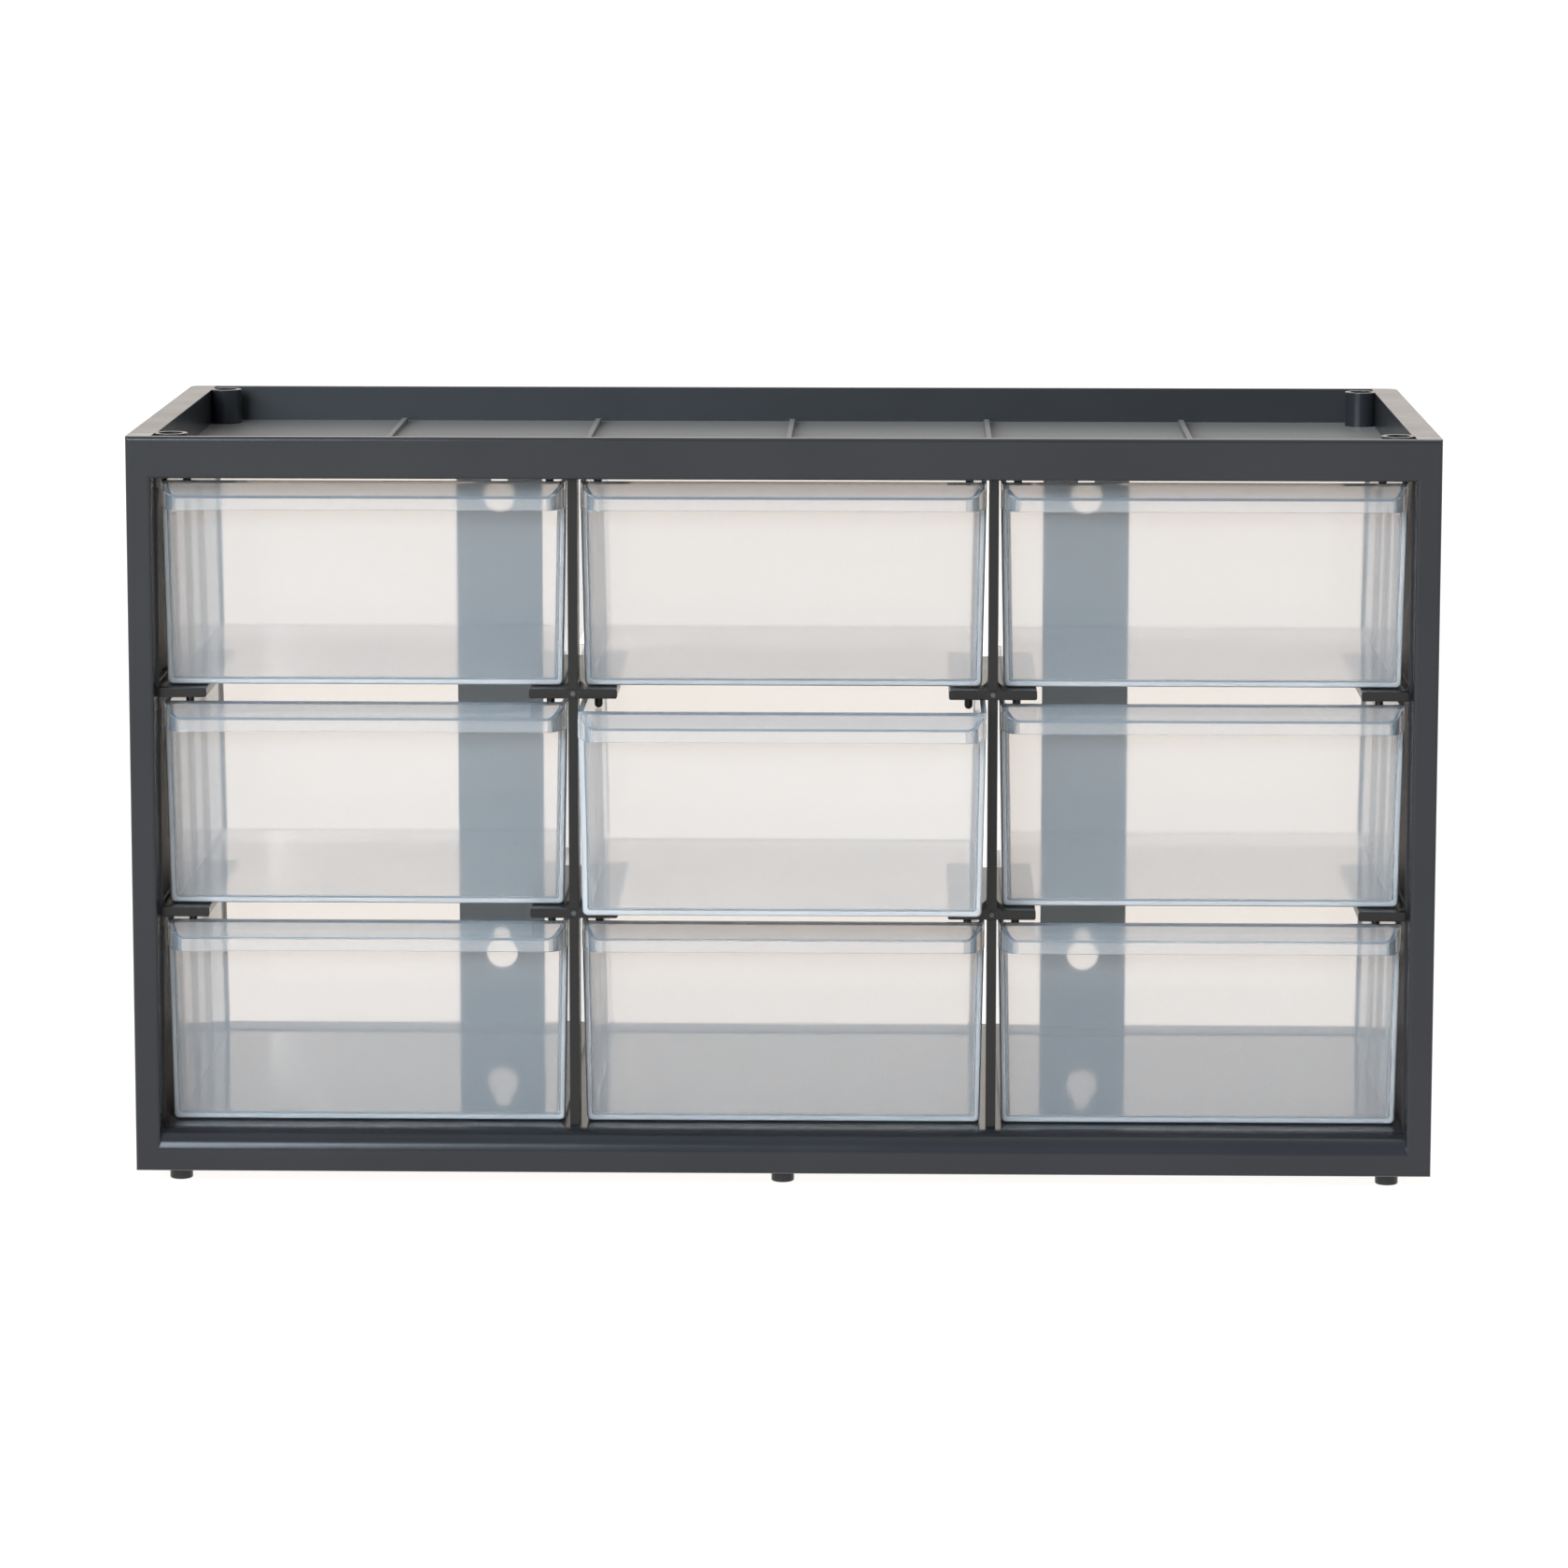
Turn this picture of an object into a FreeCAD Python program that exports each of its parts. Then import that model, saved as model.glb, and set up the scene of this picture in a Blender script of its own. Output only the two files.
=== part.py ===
import FreeCAD, Part
import math
import os

# A stackable cabinet with nine clear drawers in three rows of three, in millimetres.
# X is to the right, Y to the back, Z up. The origin is the centre of the cabinet's
# footprint, at the level that the feet stand on.

V = FreeCAD.Vector

# Overall size of the shell, without its feet
WIDTH = 365.0
DEPTH = 155.0
SHELL_HEIGHT = 208.3
FOOT_HEIGHT = 4.2

# Walls of the shell
STILE_WIDTH = 7.0
STILE_DEPTH = 9.6
SIDE_THICKNESS = 7.45
SKIN = 2.2
TRAY_FLOOR = 1.55
FRONT_EDGE_RADIUS = 1.0
OPENING_EDGE_RADIUS = 1.0
SILL_RADIUS = 6.5
REAR_CORNER_RADIUS = 3.0

# Rows and columns of drawers
ROWS = 3
ROW_PITCH = 62.45
PANEL_TOP = 11.9
RUNNER_THICKNESS = 2.65
POST_X = 58.8
POST_WIDTH = 2.7
POST_DEPTH = 10.0
GRID_SETBACK = 7.8
RUNNER_REAR = 78.0
POST_RUNNER_HALF_SPAN = 12.35
SIDE_RUNNER_SPAN = 13.35
RUNNER_FILLET = 2.2
RUNNER_TIP_RADIUS = 0.6

# Stops that hang under the runners, and keep each drawer from sliding out or too far in
STOP_DIAMETER = 2.3
STOP_LENGTH = 3.8
STOP_FROM_POST = 6.75
STOP_FROM_WALL = 7.75

# Stacking pegs and the sockets that take the pegs of the next cabinet
PEG_X = 171.0
PEG_SETBACK = 11.0
PEG_RADIUS = 3.25
PEG_FLARE_RADIUS = 3.7
PEG_END_RADIUS = 0.4
SOCKET_RADIUS = 3.4
SOCKET_OUTER_RADIUS = 4.7

# Straps across the open back, with a pair of keyholes in each
STRAP_X = 89.1
STRAP_WIDTH = 26.0
KEYHOLE_RADIUS = 4.75
KEYHOLE_SLOT = 5.0
KEYHOLE_SLOT_TOP = 7.6
KEYHOLE_LOW = 34.0
KEYHOLE_SPACING = 141.0

# Ribs on the tray's floor and under the bottom panel
TRAY_RIB_PITCH = 58.6
TRAY_RIB_WIDTH = 1.6
TRAY_RIB_HEIGHT = 1.2
TRAY_RIB_END_GAP = 5.0
BASE_RIB_HEIGHT = 2.0
BOSS_RADIUS = 4.4

# Drawers
DRAWER_WIDTH = 113.8
DRAWER_HEIGHT = 57.6
DRAWER_WALL = 1.6
DRAWER_FRONT = 13.5
DRAWER_REAR = 135.0
DRAWER_TAPER = 1.15
DRAWER_REAR_TAPER = 2.0
DRAWER_CORNER = 1.7
DRAWER_BOTTOM_RADIUS = 1.5
SLIDING_GAP = 0.2
LIP_FRONT = 4.6
LIP_DROP = 3.2
LIP_HEIGHT = 7.2
LIP_INSET = 3.0
LIP_CORNER = 3.6
LIP_WALL = 1.4
SLOT_STATIONS = (29.0, 60.0, 91.0)
SLOT_GAP = 1.8
SLOT_RIB = 0.8
SLOT_RIB_TOP = 47.0
GATE_RADIUS = 1.5
GATE_DEPTH = 0.25
PULLED_OUT = 18.0

# Derived planes
FRONT_Y = -DEPTH / 2
REAR_Y = DEPTH / 2
BASE_Z = FOOT_HEIGHT
TOP_Z = BASE_Z + SHELL_HEIGHT
FLOOR_Z = BASE_Z + PANEL_TOP
WALL_X = WIDTH / 2 - SIDE_THICKNESS
CEILING_Z = FLOOR_Z + ROWS * ROW_PITCH - RUNNER_THICKNESS
TRAY_Z = CEILING_Z + TRAY_FLOOR
COLUMN_X = (POST_X + POST_WIDTH / 2 + WALL_X) / 2
GRID_Y = FRONT_Y + GRID_SETBACK
STOP_Y = FRONT_Y + DRAWER_FRONT + DRAWER_WALL + 0.3 + STOP_DIAMETER / 2


def block(x0, x1, y0, y1, z0, z1):
    """A box between two corners."""
    return Part.makeBox(x1 - x0, y1 - y0, z1 - z0, V(x0, y0, z0))


def upright(radius, x, y, z0, z1):
    """A vertical cylinder."""
    return Part.makeCylinder(radius, z1 - z0, V(x, y, z0))


def fuse(shapes):
    """One solid from overlapping or touching ones."""
    joined = shapes[0].fuse(shapes[1:]) if len(shapes) > 1 else shapes[0]
    return joined.removeSplitter()


def mirrored(shape):
    """The same shape on the other side of the cabinet."""
    return shape.mirror(V(0, 0, 0), V(1, 0, 0))


def prism_x(points, x0, x1):
    """A polygon in the YZ plane, drawn out along X."""
    corners = [V(x0, y, z) for y, z in points]
    face = Part.Face(Part.makePolygon(corners + corners[:1]))
    return face.extrude(V(x1 - x0, 0, 0))


def edges_along_y(shape, wanted):
    """The front-to-back edges whose middle passes a test on x."""
    found = []
    for edge in shape.Edges:
        box = edge.BoundBox
        if box.YLength > 1 and box.XLength + box.ZLength < 0.01 and wanted(box.Center.x):
            found.append(edge)
    return found


def vertical_edges(shape, wanted):
    """The vertical edges whose middle passes a test on x and y."""
    found = []
    for edge in shape.Edges:
        box = edge.BoundBox
        middle = box.Center
        if box.ZLength > 1 and box.XLength + box.YLength < 0.01 and wanted(middle.x, middle.y):
            found.append(edge)
    return found


def save(name, shape):
    """Writes one node, after checking that it is sound."""
    if not shape.isValid() or shape.Volume <= 0:
        raise ValueError(name + " is not a valid solid")
    shape.exportStep("parts/" + name + ".step")


# ---------------------------------------------------------------- shell

def sill():
    """The bottom rail of the front frame: a rounded nose, open underneath."""
    half = WIDTH / 2 - STILE_WIDTH + OPENING_EDGE_RADIUS
    back = FRONT_Y + STILE_DEPTH
    outer = block(-half, half, FRONT_Y, back, BASE_Z, FLOOR_Z)
    nose = [e for e in outer.Edges if e.BoundBox.XLength > 1
            and abs(e.BoundBox.Center.y - FRONT_Y) < 0.01 and abs(e.BoundBox.Center.z - FLOOR_Z) < 0.01]
    outer = outer.makeFillet(SILL_RADIUS, nose)
    inner = block(-half, half, FRONT_Y + SKIN, back, BASE_Z - 1, FLOOR_Z - SKIN)
    crown = [e for e in inner.Edges if e.BoundBox.XLength > 1
             and abs(e.BoundBox.Center.y - FRONT_Y - SKIN) < 0.01
             and abs(e.BoundBox.Center.z - FLOOR_Z + SKIN) < 0.01]
    inner = inner.makeFillet(SILL_RADIUS - SKIN, crown)
    return outer.cut(inner)


def front_frame():
    """Two stiles, a thin top rail and the rounded sill, moulded as one ring."""
    half = WIDTH / 2
    stile = block(half - STILE_WIDTH, half, FRONT_Y, FRONT_Y + STILE_DEPTH, BASE_Z, TOP_Z)
    inner_edge = vertical_edges(stile, lambda x, y: x < half - 1 and y < FRONT_Y + 1)
    stile = stile.makeFillet(OPENING_EDGE_RADIUS, inner_edge)
    rail = block(-half, half, FRONT_Y, FRONT_Y + SKIN, CEILING_Z, TOP_Z)
    lower_edge = [e for e in rail.Edges if e.BoundBox.XLength > 1
                  and e.BoundBox.Center.y < FRONT_Y + 1 and e.BoundBox.Center.z < CEILING_Z + 1]
    rail = rail.makeFillet(OPENING_EDGE_RADIUS, lower_edge)
    frame = fuse([stile, mirrored(stile), rail, sill()])

    def outline(edge):
        box = edge.BoundBox
        on_front = box.YLength < 0.01 and abs(box.Center.y - FRONT_Y) < 0.01
        long_side = abs(abs(box.Center.x) - half) < 0.01 and box.ZLength > 100
        long_top = abs(box.Center.z - TOP_Z) < 0.01 and box.XLength > 100
        long_base = abs(box.Center.z - BASE_Z) < 0.01 and box.XLength > 100
        return on_front and (long_side or long_top or long_base)

    return frame.makeFillet(FRONT_EDGE_RADIUS, [e for e in frame.Edges if outline(e)])


def side_panel():
    """The right-hand side wall: two skins with ribs between them, open at the back."""
    y0 = FRONT_Y + STILE_DEPTH
    panel = block(WALL_X, WIDTH / 2, y0, REAR_Y, BASE_Z, TOP_Z)
    corner = vertical_edges(panel, lambda x, y: x > WALL_X + 1 and y > REAR_Y - 1)
    panel = panel.makeFillet(REAR_CORNER_RADIUS, corner)
    pocket_count = 4
    pitch = (SHELL_HEIGHT - SKIN) / pocket_count
    for index in range(pocket_count):
        z0 = BASE_Z + SKIN + index * pitch
        pocket = block(WALL_X + SKIN, WIDTH / 2 - SKIN, y0 + SKIN, REAR_Y + 1, z0, z0 + pitch - SKIN)
        panel = panel.cut(pocket)
    return panel


def top_tray():
    """The top panel: a shallow tray with ribs on its floor and stops underneath."""
    y0 = FRONT_Y + SKIN
    floor = block(-WALL_X, WALL_X, y0, REAR_Y, CEILING_Z, TRAY_Z)
    rear = block(-WALL_X, WALL_X, REAR_Y - SKIN, REAR_Y, CEILING_Z, TOP_Z)
    pieces = [floor, rear]
    for index in range(-2, 3):
        x = index * TRAY_RIB_PITCH
        pieces.append(block(x - TRAY_RIB_WIDTH / 2, x + TRAY_RIB_WIDTH / 2, y0 + TRAY_RIB_END_GAP,
                            REAR_Y - SKIN - TRAY_RIB_END_GAP, TRAY_Z, TRAY_Z + TRAY_RIB_HEIGHT))
    for side in (-1, 1):
        for x in (POST_X - STOP_FROM_POST, POST_X + STOP_FROM_POST, WALL_X - STOP_FROM_WALL):
            pieces.append(stop(side * x, CEILING_Z))
    return fuse(pieces)


def bottom_panel():
    """The floor under the bottom row, with a skirt at the back and two ribs underneath."""
    y0 = FRONT_Y + STILE_DEPTH
    floor = block(-WALL_X, WALL_X, y0, REAR_Y, FLOOR_Z - SKIN, FLOOR_Z)
    skirt = block(-WALL_X, WALL_X, REAR_Y - SKIN, REAR_Y, BASE_Z, FLOOR_Z)
    pieces = [floor, skirt]
    for side in (-1, 1):
        x = side * POST_X
        pieces.append(block(x - POST_WIDTH / 2, x + POST_WIDTH / 2, y0, REAR_Y - SKIN,
                            FLOOR_Z - SKIN - BASE_RIB_HEIGHT, FLOOR_Z - SKIN))
    return fuse(pieces)


def back_strap():
    """The right-hand strap across the open back, with two keyholes for wall screws."""
    strap = block(STRAP_X - STRAP_WIDTH / 2, STRAP_X + STRAP_WIDTH / 2, REAR_Y - SKIN, REAR_Y,
                  FLOOR_Z, CEILING_Z)
    for index in range(2):
        z = BASE_Z + KEYHOLE_LOW + index * KEYHOLE_SPACING
        entry = Part.makeCylinder(KEYHOLE_RADIUS, SKIN + 2, V(STRAP_X, REAR_Y - SKIN - 1, z), V(0, 1, 0))
        half_slot = KEYHOLE_SLOT / 2
        slot_end = z + KEYHOLE_SLOT_TOP - half_slot
        slot = block(STRAP_X - half_slot, STRAP_X + half_slot, REAR_Y - SKIN - 1, REAR_Y + 1, z, slot_end)
        rest = Part.makeCylinder(half_slot, SKIN + 2, V(STRAP_X, REAR_Y - SKIN - 1, slot_end), V(0, 1, 0))
        strap = strap.cut(fuse([entry, slot, rest]))
    return strap


# ---------------------------------------------------------------- drawer supports

def stop(x, z):
    """A small rounded peg that hangs from a runner or from the top panel."""
    radius = STOP_DIAMETER / 2
    shank = upright(radius, x, STOP_Y, z - STOP_LENGTH + radius, z + 0.1)
    return shank.fuse(Part.makeSphere(radius, V(x, STOP_Y, z - STOP_LENGTH + radius)))


def runner_level(level):
    """Height of a runner's top face. Level 0 is the bottom panel."""
    return FLOOR_Z + level * ROW_PITCH


def fillet_strip(x, direction, z, y0, y1):
    """A concave fillet where a runner meets an upright face at x."""
    r = RUNNER_FILLET
    strip = block(min(x, x + direction * r), max(x, x + direction * r), y0, y1, z, z + r)
    return strip.cut(Part.makeCylinder(r, y1 - y0, V(x + direction * r, y0, z + r), V(0, 1, 0)))


def post():
    """The right-hand upright between the middle and the right columns."""
    bar = block(POST_X - POST_WIDTH / 2, POST_X + POST_WIDTH / 2, GRID_Y, GRID_Y + POST_DEPTH,
                FLOOR_Z, CEILING_Z)
    for level in (1, 2):
        z = runner_level(level) - RUNNER_THICKNESS
        bar = bar.cut(block(0, WALL_X, FRONT_Y, REAR_Y, z, z + RUNNER_THICKNESS))
    return bar


def post_runner(level):
    """A runner carried by the right-hand post, with a stop under each wing."""
    top = runner_level(level)
    under = top - RUNNER_THICKNESS
    y1 = FRONT_Y + RUNNER_REAR
    plate = block(POST_X - POST_RUNNER_HALF_SPAN, POST_X + POST_RUNNER_HALF_SPAN, GRID_Y, y1, under, top)
    pieces = [plate.makeFillet(RUNNER_TIP_RADIUS, edges_along_y(plate, lambda x: True))]
    for side in (-1, 1):
        pieces.append(fillet_strip(POST_X + side * POST_WIDTH / 2, side, top, GRID_Y, GRID_Y + POST_DEPTH))
        pieces.append(stop(POST_X + side * STOP_FROM_POST, under))
    return fuse(pieces)


def side_runner(level):
    """A runner on the right-hand side wall, with one stop under it."""
    top = runner_level(level)
    under = top - RUNNER_THICKNESS
    y0 = FRONT_Y + STILE_DEPTH
    y1 = FRONT_Y + RUNNER_REAR
    plate = block(WALL_X - SIDE_RUNNER_SPAN, WALL_X, GRID_Y, y1, under, top)
    plate = plate.makeFillet(RUNNER_TIP_RADIUS, edges_along_y(plate, lambda x: x < WALL_X - 1))
    return fuse([plate, fillet_strip(WALL_X, -1, top, y0, y1), stop(WALL_X - STOP_FROM_WALL, under)])


# ---------------------------------------------------------------- stacking features

def corner_places(x, setback):
    """The four corners of a rectangle inside the footprint."""
    return [(sx * x, sy * (DEPTH / 2 - setback)) for sx in (-1, 1) for sy in (-1, 1)]


def stacking_sockets():
    """Four tubes in the corners of the tray, flush with its rim."""
    tubes = []
    room = block(-WALL_X, WALL_X, FRONT_Y + SKIN, REAR_Y - SKIN, TRAY_Z, TOP_Z)
    for x, y in corner_places(PEG_X, PEG_SETBACK):
        tube = upright(SOCKET_OUTER_RADIUS, x, y, TRAY_Z, TOP_Z)
        tube = tube.cut(upright(SOCKET_RADIUS, x, y, TRAY_Z - 1, TOP_Z + 1))
        tubes.append(tube.common(room))
    return Part.makeCompound(tubes)


def peg(x, y):
    """One stacking foot: a boss under the floor, a flared collar and a round peg."""
    boss = upright(BOSS_RADIUS, x, y, BASE_Z, FLOOR_Z - SKIN)
    room = block(-WALL_X, WALL_X, FRONT_Y + SKIN, REAR_Y - SKIN, 0, FLOOR_Z)
    collar = Part.makeCone(PEG_RADIUS, PEG_FLARE_RADIUS, 0.6, V(x, y, BASE_Z - 0.6))
    shaft = upright(PEG_RADIUS, x, y, 0, BASE_Z)
    rim = [e for e in shaft.Edges if e.BoundBox.ZLength < 0.01 and e.BoundBox.Center.z < 0.01]
    return fuse([boss.common(room), collar, shaft.makeFillet(PEG_END_RADIUS, rim)])


def stacking_pegs():
    """Six feet: one in each corner and one at the middle of the front and the back."""
    places = corner_places(PEG_X, PEG_SETBACK)
    places += [(0, s * (DEPTH / 2 - PEG_SETBACK)) for s in (-1, 1)]
    return Part.makeCompound([peg(x, y) for x, y in places])


# ---------------------------------------------------------------- drawer

def rounded_section(x_half, y0, y1, z, radius):
    """A horizontal rectangle with rounded corners, as a wire."""
    k = radius * (1 - math.sqrt(0.5))
    xs = (-x_half, x_half)
    points = []
    for sx, sy in ((-1, -1), (1, -1), (1, 1), (-1, 1)):
        x = xs[0] if sx < 0 else xs[1]
        y = y0 if sy < 0 else y1
        along_x = V(x - sx * radius, y, z)
        along_y = V(x, y - sy * radius, z)
        middle = V(x - sx * k, y - sy * k, z)
        points.append((along_y, middle, along_x) if sx * sy > 0 else (along_x, middle, along_y))
    edges = []
    for index, (start, middle, end) in enumerate(points):
        edges.append(Part.Arc(start, middle, end).toShape())
        edges.append(Part.LineSegment(end, points[(index + 1) % 4][0]).toShape())
    return Part.Wire(edges)


def drawer_shell(inset, floor):
    """The tapered outside of the drawer, or its inside when inset by the wall."""
    y0 = FRONT_Y + DRAWER_FRONT + inset
    y1 = FRONT_Y + DRAWER_REAR - inset
    half = DRAWER_WIDTH / 2 - inset
    radius = DRAWER_CORNER - inset * 0.4
    share = floor / DRAWER_HEIGHT
    narrower = DRAWER_TAPER * (1 - share)
    shorter = DRAWER_REAR_TAPER * (1 - share)
    low = rounded_section(half - narrower, y0, y1 - shorter, floor, radius)
    high = rounded_section(half, y0, y1, DRAWER_HEIGHT, radius)
    shell = Part.makeLoft([low, high], True, True)
    rim = [e for e in shell.Edges if e.BoundBox.ZLength < 0.01 and abs(e.BoundBox.Center.z - floor) < 0.01]
    return shell.makeFillet(DRAWER_BOTTOM_RADIUS - inset * 0.5, rim)


def lip_outline(inset, z0, z1):
    """The plan of the pull lip: narrower at the front, with rounded corners."""
    back = FRONT_Y + DRAWER_FRONT + DRAWER_WALL / 2
    front = FRONT_Y + LIP_FRONT + inset
    back_half = DRAWER_WIDTH / 2 - inset - 0.05
    front_half = DRAWER_WIDTH / 2 - LIP_INSET - inset
    corners = [V(-back_half, back, z0), V(-front_half, front, z0),
               V(front_half, front, z0), V(back_half, back, z0)]
    plan = Part.Face(Part.makePolygon(corners + corners[:1])).extrude(V(0, 0, z1 - z0))
    fronts = vertical_edges(plan, lambda x, y: y < front + 0.1)
    return plan.makeFillet(LIP_CORNER - inset, fronts)


def below_slope(drop):
    """Everything under the sloping top of the pull lip."""
    y_back = FRONT_Y + DRAWER_FRONT + DRAWER_WALL / 2
    y_front = FRONT_Y + LIP_FRONT
    top = DRAWER_HEIGHT - drop
    low = DRAWER_HEIGHT - LIP_HEIGHT - 1
    points = [(y_back, low), (y_front - 1, low), (y_front - 1, top - LIP_DROP), (y_front, top - LIP_DROP),
              (FRONT_Y + DRAWER_FRONT, top), (y_back, top)]
    return prism_x(points, -DRAWER_WIDTH, DRAWER_WIDTH)


def pull_lip():
    """A hood along the whole front edge: a sloping top, a skirt and two ends."""
    base = DRAWER_HEIGHT - LIP_HEIGHT
    outer = lip_outline(0, base, DRAWER_HEIGHT + 1).common(below_slope(0))
    inner = lip_outline(LIP_WALL, base - 1, DRAWER_HEIGHT + 1).common(below_slope(LIP_WALL))
    return outer.cut(inner)


def divider_ribs():
    """Pairs of upright ribs on both side walls that hold a loose divider."""
    ribs = []
    for station in SLOT_STATIONS:
        for side in (-1, 1):
            for offset in (-1, 1):
                y = FRONT_Y + station + offset * (SLOT_GAP + SLOT_RIB) / 2
                x = side * (DRAWER_WIDTH / 2 - DRAWER_WALL)
                ribs.append(block(x - 2.2, x + 2.2, y - SLOT_RIB / 2, y + SLOT_RIB / 2,
                                  DRAWER_WALL - 0.2, SLOT_RIB_TOP))
    return ribs


def drawer():
    """One clear drawer at the height of its own floor, in the middle column."""
    outside = drawer_shell(0, 0)
    inside = drawer_shell(DRAWER_WALL, DRAWER_WALL)
    tub = outside.cut(inside)
    lean = drawer_shell(DRAWER_WALL + 0.9, DRAWER_WALL)
    ribs = [rib.common(outside).cut(lean) for rib in divider_ribs()]
    lip = pull_lip().cut(inside)
    body = fuse([tub, lip] + ribs)
    mark_y = FRONT_Y + (DRAWER_FRONT + DRAWER_REAR) / 2
    return body.cut(upright(GATE_RADIUS, 0, mark_y, -1, GATE_DEPTH))


# ---------------------------------------------------------------- all nodes

def build():
    os.makedirs("parts", exist_ok=True)
    save("front_frame", front_frame())
    save("top_tray", top_tray())
    save("bottom_panel", bottom_panel())
    save("stacking_sockets", stacking_sockets())
    save("stacking_pegs", stacking_pegs())
    right_hand = {"side_panel": side_panel(), "back_strap": back_strap(), "post": post(),
                  "post_runner_lower": post_runner(1), "post_runner_upper": post_runner(2),
                  "side_runner_lower": side_runner(1), "side_runner_upper": side_runner(2)}
    for name, shape in right_hand.items():
        save("right_" + name, shape)
        save("left_" + name, mirrored(shape))
    tub = drawer()
    for row, row_name in enumerate(("bottom", "middle", "top")):
        for column, column_name in ((-1, "left"), (0, "centre"), (1, "right")):
            pulled = PULLED_OUT if row == 1 and column == 0 else 0
            place = V(column * COLUMN_X, -pulled, runner_level(row) + SLIDING_GAP)
            save("drawer_" + row_name + "_" + column_name, tub.translated(place))


build()
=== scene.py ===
import math

import bpy
from mathutils import Matrix, Vector


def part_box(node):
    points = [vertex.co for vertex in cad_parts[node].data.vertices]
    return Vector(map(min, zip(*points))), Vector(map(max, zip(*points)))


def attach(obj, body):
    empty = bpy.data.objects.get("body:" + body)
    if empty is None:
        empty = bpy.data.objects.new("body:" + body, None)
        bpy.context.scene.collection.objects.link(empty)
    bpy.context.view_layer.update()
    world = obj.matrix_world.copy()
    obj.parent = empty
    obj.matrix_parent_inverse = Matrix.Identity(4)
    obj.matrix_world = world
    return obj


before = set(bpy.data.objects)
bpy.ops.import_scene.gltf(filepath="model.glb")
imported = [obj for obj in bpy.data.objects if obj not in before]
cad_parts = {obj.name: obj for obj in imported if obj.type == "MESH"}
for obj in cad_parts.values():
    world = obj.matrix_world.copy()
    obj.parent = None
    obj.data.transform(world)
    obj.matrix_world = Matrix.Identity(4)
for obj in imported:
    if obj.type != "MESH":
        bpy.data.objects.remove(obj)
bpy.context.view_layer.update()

# ------------------------------------------------------------------ sizes, in metres
MM = 0.001
front_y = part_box("front_frame")[0].y

# The outside of a drawer: half its width at the rim, its height, how much narrower each side
# is at the bottom, how far its front wall stands behind the lip's front, and its bottom edges
DRAWER_HALF = 56.9 * MM
DRAWER_HEIGHT = 57.6 * MM
DRAWER_TAPER = 1.15 * MM
DRAWER_FACE = 8.9 * MM
DRAWER_BOTTOM_RADIUS = 1.5 * MM

# The band of painted light in a drawer's walls, a whitish insert standing in for the glow of the
# clear walls seen edge on: how far behind the lip's front it starts, how deep it is, how high it
# reaches, and how far its four edges lie inside the drawer's outline
BAND_START = DRAWER_FACE + 0.8 * MM
BAND_DEPTH = 2.7 * MM
BAND_TOP = 55.3 * MM
BAND_FRONT_INSETS = (0.45 * MM, 1.5 * MM)
BAND_BACK_INSETS = (1.45 * MM, 0.15 * MM)
BAND_ARC_STEPS = 6

# The ejector marks on the posts' crosses: their radius, the share of it that their tips keep,
# how far they stand out, and how high the middle of a cross is above its lowest point
MARK_RADIUS = 0.85 * MM
MARK_TIP = 0.8
MARK_DEPTH = 0.08 * MM
MARK_STEPS = 20
CROSS_MID = 5.125 * MM

# Colours. A pair holds the two ends of a faint mottle.
CHARCOAL = ((0.015, 0.0155, 0.0175), (0.0195, 0.02, 0.0225))
CHARCOAL_FRONT = ((0.0145, 0.015, 0.0165), (0.019, 0.0195, 0.0215))
# Painted shade: the tray's charcoal is darker than the rest, standing in for the shade on the
# tray's back wall
CHARCOAL_TRAY_SHADED = ((0.0125, 0.013, 0.014), (0.0165, 0.017, 0.0185))
# Painted shade: a much darker copy of the charcoal for the posts and runners, standing in for the
# shade they stand set back in
POST_PAINTED_SHADE = ((0.0065, 0.0058, 0.0048), (0.0088, 0.0079, 0.0067))
# Painted light: lighter, bluish colours for the straps' front faces only, standing in for the light
# that reaches them through the drawers
STRAP_PAINTED_LIGHT = ((0.15, 0.225, 0.28), (0.162, 0.243, 0.302))
MARK_GREY = ((0.06, 0.058, 0.055), (0.08, 0.078, 0.075))
# Painted light: the whitish bands inside the drawers' walls
BAND_PAINTED_LIGHT = ((0.92, 0.935, 0.95), (0.97, 0.975, 0.98))
CLEAR_TINT = (0.93, 0.88, 0.835)
HAZE_TINT = (0.4, 0.74, 1)
DUST_TINT = (1, 0.98, 0.9)
FLOOR_GREY = (0.12, 0.12, 0.12)
FLOOR_GLOW = (1.0, 0.975, 0.95)
SKY_FRONT = (0.40, 0.48, 0.58)
SKY_REAR = (1.0, 0.94, 0.88)


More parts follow.
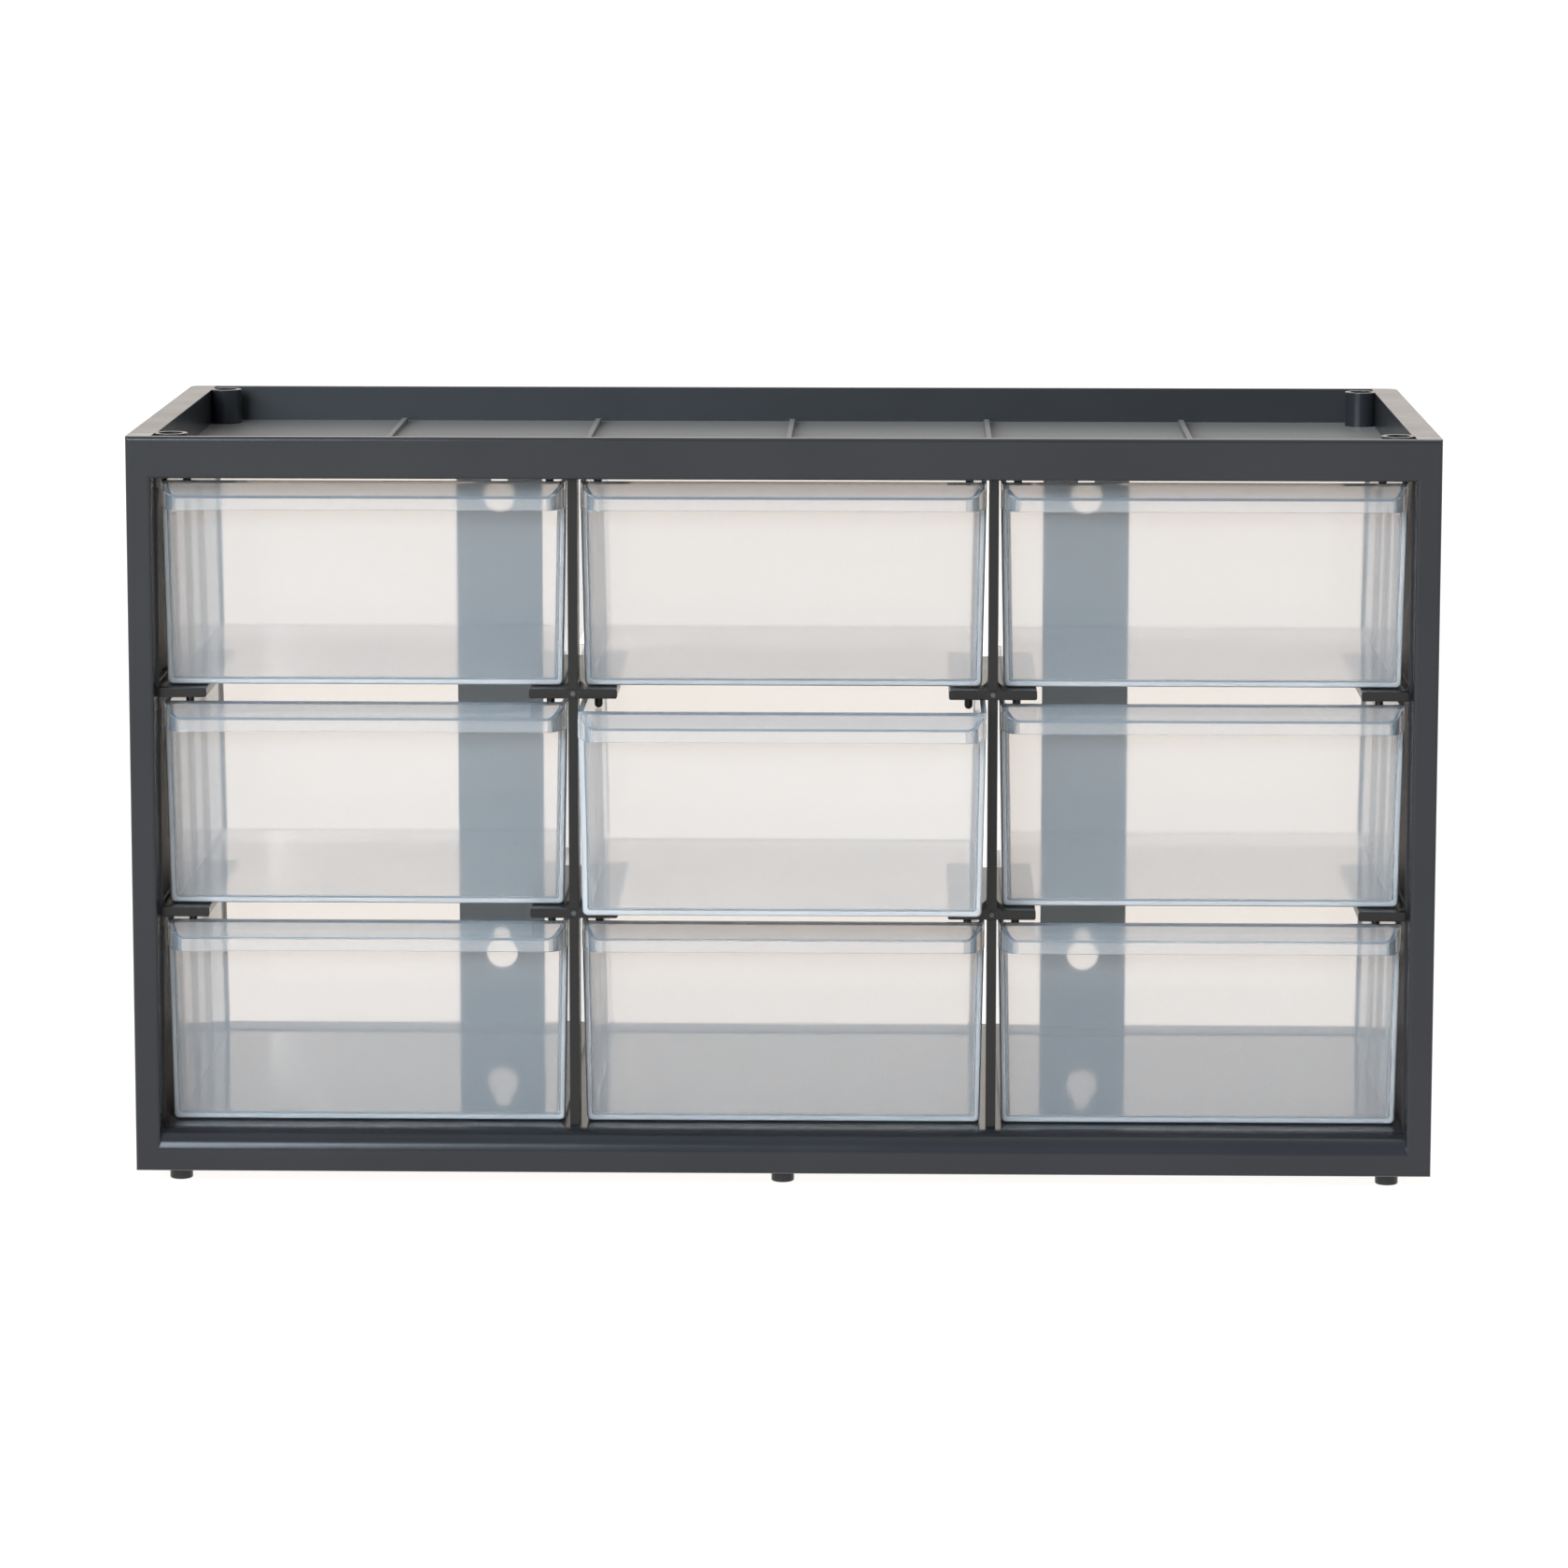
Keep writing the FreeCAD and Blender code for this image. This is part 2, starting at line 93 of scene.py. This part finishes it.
# ------------------------------------------------------------------ material tools
class Nodes:
    """A material's node tree, with short calls to add and join nodes."""

    def __init__(self, name):
        self.material = bpy.data.materials.new(name)
        self.material.use_nodes = True
        self.tree = self.material.node_tree
        self.tree.nodes.clear()
        self.output = self.add("ShaderNodeOutputMaterial")
        self.shader = self.add("ShaderNodeBsdfPrincipled")
        self.join(self.shader.outputs[0], self.output.inputs["Surface"])
        coordinates = self.add("ShaderNodeTexCoord")
        self.place = coordinates.outputs["Object"]
        self.facing = coordinates.outputs["Normal"]

    def add(self, kind, **settings):
        node = self.tree.nodes.new(kind)
        for key, value in settings.items():
            setattr(node, key, value)
        return node

    def join(self, source, target):
        self.tree.links.new(source, target)

    def noise(self, scale, detail, stretch=(1, 1, 1)):
        """Noise with features about 1 / scale metres across."""
        mapping = self.add("ShaderNodeMapping")
        mapping.inputs["Scale"].default_value = stretch
        self.join(self.place, mapping.inputs["Vector"])
        node = self.add("ShaderNodeTexNoise")
        node.inputs["Scale"].default_value = scale
        node.inputs["Detail"].default_value = detail
        self.join(mapping.outputs[0], node.inputs["Vector"])
        return node.outputs["Fac"]

    def spread(self, value, low, high, start=0.3, end=0.7):
        """Turns a value that runs from start to end into one from low to high."""
        node = self.add("ShaderNodeMapRange")
        node.inputs["From Min"].default_value = start
        node.inputs["From Max"].default_value = end
        node.inputs["To Min"].default_value = low
        node.inputs["To Max"].default_value = high
        self.join(value, node.inputs["Value"])
        return node.outputs["Result"]

    def blend(self, factor, colour_a, colour_b):
        """Mixes two fixed colours."""
        node = self.add("ShaderNodeMix", data_type="RGBA")
        node.inputs["A"].default_value = (*colour_a, 1)
        node.inputs["B"].default_value = (*colour_b, 1)
        self.join(factor, node.inputs["Factor"])
        return node.outputs["Result"]

    def join_blend(self, factor, colour_a, colour_b):
        """Mixes two colours that come from other nodes."""
        node = self.add("ShaderNodeMix", data_type="RGBA")
        self.join(colour_a, node.inputs["A"])
        self.join(colour_b, node.inputs["B"])
        self.join(factor, node.inputs["Factor"])
        return node.outputs["Result"]

    def painted_front_mask(self):
        """1 on the faces that look towards the object's front, and 0 on the others: the mask for
        painted light.
        """
        split = self.add("ShaderNodeSeparateXYZ")
        self.join(self.facing, split.inputs[0])
        return self.spread(split.outputs["Y"], 1, 0, -0.9, -0.5)

    def soft_edges(self, radius):
        """Normals that round off the edges in the shading."""
        node = self.add("ShaderNodeBevel", samples=4)
        node.inputs["Radius"].default_value = radius
        return node.outputs["Normal"]


def shell_plastic(name, dark, light, rough=(0.2, 0.26), dust=0.0, front=None):
    """Glossy moulded plastic with faint flow marks and softened edges.

    dust is a thin bright film on it, and front is a pair of colours painted on its front faces
    only, as painted light.
    """
    n = Nodes(name)
    s = n.shader.inputs
    flow = n.spread(n.noise(14, 4), 0, 1)
    colour = n.blend(flow, dark, light)
    # painted light: the faces towards the front take the front colours
    if front is not None:
        colour = n.join_blend(n.painted_front_mask(), colour, n.blend(flow, *front))
    n.join(colour, s["Base Color"])
    n.join(n.spread(n.noise(40, 3, (1, 1, 2.5)), *rough), s["Roughness"])
    s["IOR"].default_value = 1.4
    s["Sheen Weight"].default_value = dust
    s["Sheen Roughness"].default_value = 0.45
    s["Sheen Tint"].default_value = (*DUST_TINT, 1)
    n.join(n.soft_edges(0.4 * MM), s["Normal"])
    return n.material


def clear_plastic(name):
    """Clear moulded plastic with a faint bluish haze and a slightly uneven gloss."""
    n = Nodes(name)
    s = n.shader.inputs
    s["Base Color"].default_value = (*CLEAR_TINT, 1)
    s["Transmission Weight"].default_value = 0.925
    s["IOR"].default_value = 1.45
    s["Sheen Weight"].default_value = 0.13
    s["Sheen Roughness"].default_value = 1.0
    s["Sheen Tint"].default_value = (*HAZE_TINT, 1)
    n.join(n.spread(n.noise(35, 3), 0.03, 0.07), s["Roughness"])
    return n.material


def painted_light_plastic(name):
    """Whitish and translucent: painted light standing in for the glow of the clear plastic where it
    is seen edge on.
    """
    n = Nodes(name)
    s = n.shader.inputs
    n.join(n.blend(n.spread(n.noise(60, 2), 0, 1), *BAND_PAINTED_LIGHT), s["Base Color"])
    s["Transmission Weight"].default_value = 0.25
    s["Roughness"].default_value = 0.45
    s["IOR"].default_value = 1.5
    return n.material


def dress(node, material):
    """Gives every material slot of a CAD node the same material."""
    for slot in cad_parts[node].material_slots:
        slot.material = material


# ------------------------------------------------------------------ the cabinet
charcoal = shell_plastic("charcoal_plastic", *CHARCOAL)
charcoal_front = shell_plastic("charcoal_plastic_front", *CHARCOAL_FRONT, rough=(0.14, 0.2))
# painted shade: a darker copy of the charcoal for the tray, with its own rougher gloss and dust
charcoal_tray_shaded = shell_plastic("charcoal_plastic_tray_shaded", *CHARCOAL_TRAY_SHADED, rough=(0.4, 0.46), dust=0.14)
# painted shade: the darker copy of the charcoal for the set-back posts and runners
post_painted_shade = shell_plastic("charcoal_plastic_painted_shade", *POST_PAINTED_SHADE)
# painted light: the straps' front faces lighter and bluer than their charcoal
strap_painted_light = shell_plastic("charcoal_plastic_strap_painted_light", *CHARCOAL, front=STRAP_PAINTED_LIGHT)
mark_grey = shell_plastic("charcoal_plastic_mark", *MARK_GREY)
clear = clear_plastic("clear_plastic")
# painted light: the whitish plastic for the bands inside the drawers
painted_light = painted_light_plastic("painted_light_plastic")

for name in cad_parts:
    if name.startswith("drawer_"):
        dress(name, clear)
    elif name.endswith("_post") or "_runner_" in name:
        dress(name, post_painted_shade)
    elif name.endswith("_strap"):
        dress(name, strap_painted_light)
    elif name in ("front_frame", "bottom_panel"):
        dress(name, charcoal_front)
    elif name == "top_tray":
        dress(name, charcoal_tray_shaded)
    else:
        dress(name, charcoal)


# ------------------------------------------------------------------ small detail pieces and bands of painted light
def add_piece(name, vertices, faces, material, body):
    """Makes a mesh piece that moves with a body."""
    mesh = bpy.data.meshes.new(name)
    mesh.from_pydata(vertices, [], faces)
    mesh.materials.append(material)
    piece = bpy.data.objects.new(name, mesh)
    bpy.context.collection.objects.link(piece)
    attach(piece, body)


def drawer_outline(inset, top):
    """A drawer's outline from the front, an inset inside it: down the left side, up the right."""
    def half_width(z):
        return DRAWER_HALF - DRAWER_TAPER * (1 - z / DRAWER_HEIGHT) - inset

    radius = DRAWER_BOTTOM_RADIUS - inset * 0.5
    bend = inset + radius
    left = -half_width(bend)
    points = [(-half_width(top), top), (left, bend)]
    for step in range(1, BAND_ARC_STEPS + 1):
        angle = math.pi / 2 * step / BAND_ARC_STEPS
        x = left + radius * (1 - math.cos(angle))
        z = inset + radius * (1 - math.sin(angle))
        points.append((x, z))
    return points + [(-x, z) for x, z in reversed(points)]


def painted_light_band(node):
    """A band of painted light in a drawer's side walls and floor, just behind its front wall: a
    whitish insert standing in for the glow of the clear walls seen edge on.
    """
    low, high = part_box(node)
    centre = (low.x + high.x) / 2
    front = low.y + BAND_START
    edges = [(front, inset) for inset in BAND_FRONT_INSETS]
    edges += [(front + BAND_DEPTH, inset) for inset in BAND_BACK_INSETS]
    lines = []
    for y, inset in edges:
        lines.append([(centre + x, y, low.z + z) for x, z in drawer_outline(inset, BAND_TOP)])
    sides = len(lines)
    last = (len(lines[0]) - 1) * sides
    vertices = [corner for section in zip(*lines) for corner in section]
    faces = []
    for first in range(0, last, sides):
        for side in range(sides):
            after = (side + 1) % sides
            faces.append((first + side, first + after, first + sides + after, first + sides + side))
    faces.append(tuple(reversed(range(sides))))
    faces.append(tuple(range(last, last + sides)))
    add_piece(node + "_painted_light_band", vertices, faces, painted_light, node)


def ejector_mark(node):
    """The small round mark in the middle of a post's cross, where an ejector pin stood."""
    low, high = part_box(node)
    x = (low.x + high.x) / 2
    z = CROSS_MID + low.z
    rims = []
    for radius, depth in ((MARK_RADIUS, 0.0), (MARK_RADIUS * MARK_TIP, MARK_DEPTH)):
        for index in range(MARK_STEPS):
            angle = 2 * math.pi * index / MARK_STEPS
            rims.append((x + radius * math.cos(angle), low.y - depth, z + radius * math.sin(angle)))
    faces = []
    for index in range(MARK_STEPS):
        after = (index + 1) % MARK_STEPS
        faces.append((index, after, MARK_STEPS + after, MARK_STEPS + index))
    faces.append(tuple(range(MARK_STEPS, 2 * MARK_STEPS)))
    faces.append(tuple(reversed(range(MARK_STEPS))))
    add_piece(node + "_ejector_mark", rims, faces, mark_grey, "cabinet")


# painted light: a whitish band inside each drawer's walls; an ejector mark on each post's cross
for name in list(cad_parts):
    if name.startswith("drawer_"):
        painted_light_band(name)
    elif "_post_runner_" in name:
        ejector_mark(name)


# ------------------------------------------------------------------ floor, light, camera
def floor():
    """A grey floor with a white glow, as on a light table, that reaches the horizon."""
    bpy.ops.mesh.primitive_circle_add(vertices=96, radius=60, fill_type="NGON", location=(0, 0, 0))
    disc = bpy.context.object
    disc.name = "floor"
    material = bpy.data.materials.new("floor_white")
    material.use_nodes = True
    shader = material.node_tree.nodes["Principled BSDF"].inputs
    shader["Base Color"].default_value = (*FLOOR_GREY, 1)
    shader["Roughness"].default_value = 0.9
    shader["Emission Color"].default_value = (*FLOOR_GLOW, 1)
    shader["Emission Strength"].default_value = 0.97
    disc.data.materials.append(material)


def sky():
    """A white studio all round, warmer behind the object and cooler in front of it."""
    world = bpy.data.worlds.new("studio")
    bpy.context.scene.world = world
    world.use_nodes = True
    tree = world.node_tree
    coordinates = tree.nodes.new("ShaderNodeTexCoord")
    split = tree.nodes.new("ShaderNodeSeparateXYZ")
    ramp = tree.nodes.new("ShaderNodeValToRGB")
    spread = tree.nodes.new("ShaderNodeMapRange")
    spread.inputs["From Min"].default_value = -0.7
    spread.inputs["From Max"].default_value = 0.3
    tree.links.new(coordinates.outputs["Generated"], split.inputs[0])
    tree.links.new(split.outputs["Y"], spread.inputs["Value"])
    tree.links.new(spread.outputs[0], ramp.inputs[0])
    ramp.color_ramp.elements[0].color = (*SKY_FRONT, 1)
    ramp.color_ramp.elements[1].color = (*SKY_REAR, 1)
    background = tree.nodes["Background"]
    tree.links.new(ramp.outputs[0], background.inputs["Color"])
    background.inputs["Strength"].default_value = 1.1


def lamp(name, place, target, size, power, colour):
    """A large soft lamp that points at a place."""
    data = bpy.data.lights.new(name, "AREA")
    data.shape = "RECTANGLE"
    data.size, data.size_y = size
    data.energy = power
    data.color = colour
    light = bpy.data.objects.new(name, data)
    bpy.context.collection.objects.link(light)
    light.location = place
    light.rotation_euler = (Vector(target) - Vector(place)).to_track_quat("-Z", "Y").to_euler()


def camera():
    """Stands in front, a little to the right and above, and looks slightly down."""
    data = bpy.data.cameras.new("camera")
    data.lens = 132.9
    data.sensor_width = 36
    data.shift_y = -0.0476
    data.clip_end = 200
    eye = bpy.data.objects.new("camera", data)
    bpy.context.collection.objects.link(eye)
    eye.location = (32.3 * MM, front_y - 1594.8 * MM, 372.8 * MM)
    # In degrees, fitted to the corners of the shell as the photo shows them
    turned_left, tipped_down, rolled = 1.143, 8.42, 0.04
    yaw = Matrix.Rotation(math.radians(turned_left), 4, "Z")
    pitch = Matrix.Rotation(math.radians(90 - tipped_down), 4, "X")
    roll = Matrix.Rotation(math.radians(rolled), 4, "Z")
    eye.rotation_euler = (yaw @ pitch @ roll).to_euler()
    bpy.context.scene.camera = eye


floor()
sky()
lamp("key", (-1.1, -2.1, 1.0), (0, 0, 0.1), size=(1.6, 1.2), power=80, colour=(0.82, 0.93, 1.05))
lamp("top", (0.6, 0.4, 2.4), (0, 0, 0.1), size=(2.2, 1.6), power=14, colour=(1, 0.99, 0.97))
camera()
bpy.context.scene.view_settings.view_transform = "Standard"
